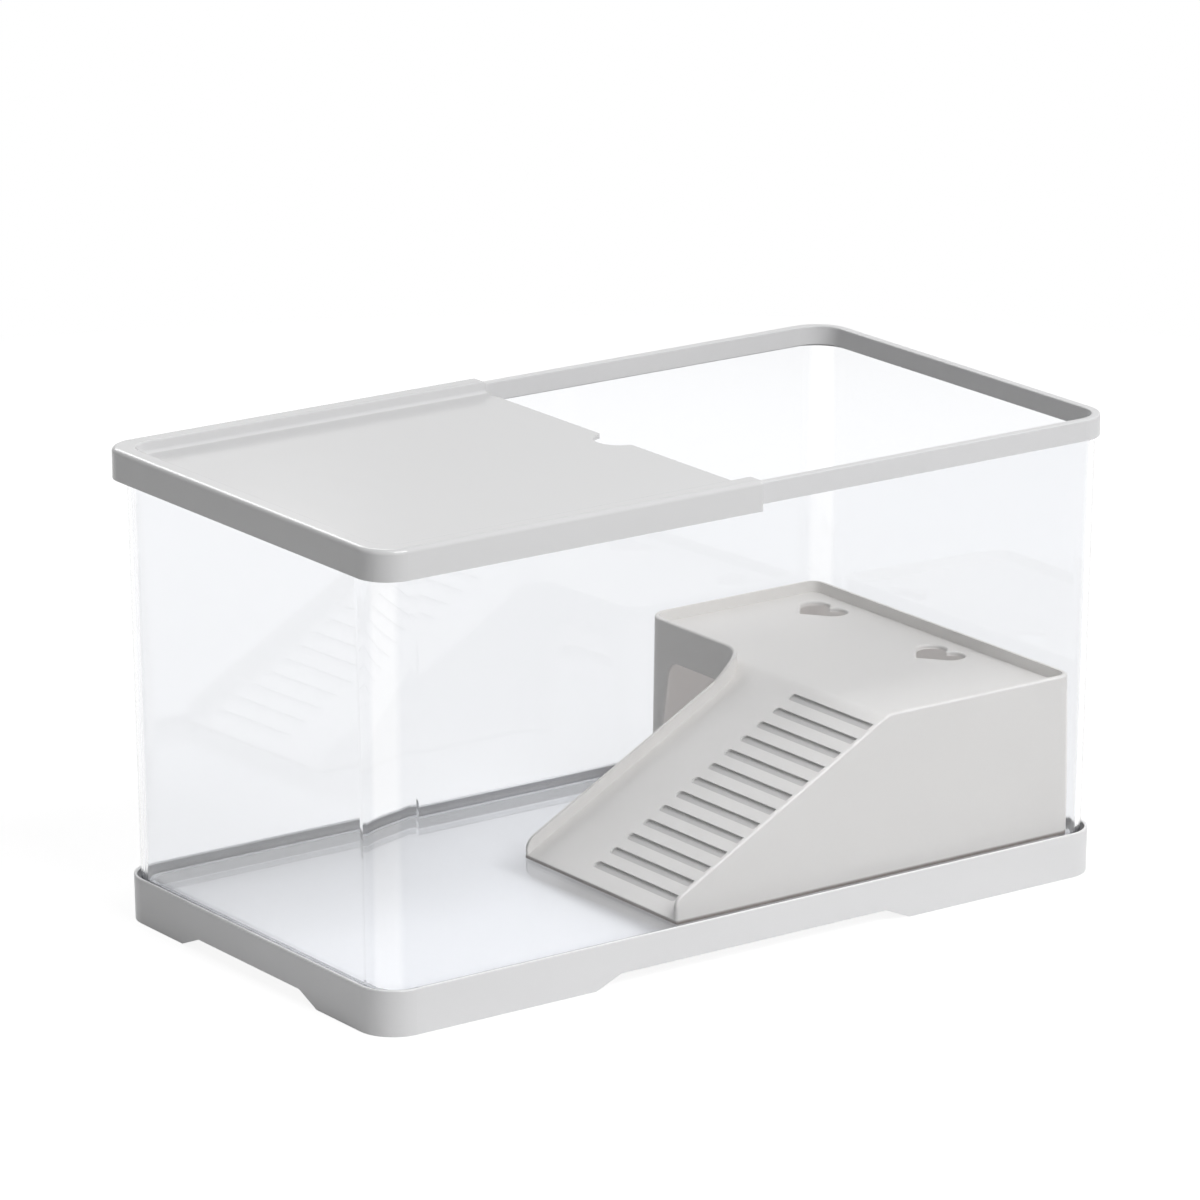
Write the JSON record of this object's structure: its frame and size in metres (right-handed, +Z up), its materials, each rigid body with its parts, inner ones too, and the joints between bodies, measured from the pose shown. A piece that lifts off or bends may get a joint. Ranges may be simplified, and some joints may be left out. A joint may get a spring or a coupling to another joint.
{
  "type": "turtle tank",
  "caption": "Small clear turtle tank on a white tray, with a half lid and a lift-out basking platform that has a ramp and a cave.",
  "frame": {"origin": "on the ground, below the middle of the whole object's box", "axes": "+X along the length towards the open half, +Y to the back, +Z up"},
  "size_m": [0.3684, 0.202, 0.2],
  "materials": {
    "white_plastic": "satin moulded plastic",
    "clear_plastic": "clear moulded plastic, not glass",
    "lid_plastic": "glossy moulded plastic",
    "warm_grey_plastic": "satin moulded plastic"
  },
  "bodies": {
    "tray": {"base_tray": "white_plastic"},
    "tank": {"tank_shell": "clear_plastic", "top_rim": "white_plastic"},
    "lid": {"half_lid": "lid_plastic"},
    "platform": {"basking_platform": "warm_grey_plastic"}
  },
  "joints": [
    {"name": "tank_lift", "type": "slide", "parent": "tray", "child": "tank", "axis": [0, 0, 1], "range_m": [0, 0.04]},
    {"name": "lid_lift", "type": "slide", "parent": "tank", "child": "lid", "axis": [0, 0, 1], "range_m": [0, 0.05]},
    {"name": "platform_lift", "type": "slide", "parent": "tank", "child": "platform", "axis": [0, 0, 1], "range_m": [0, 0.14]}
  ]
}
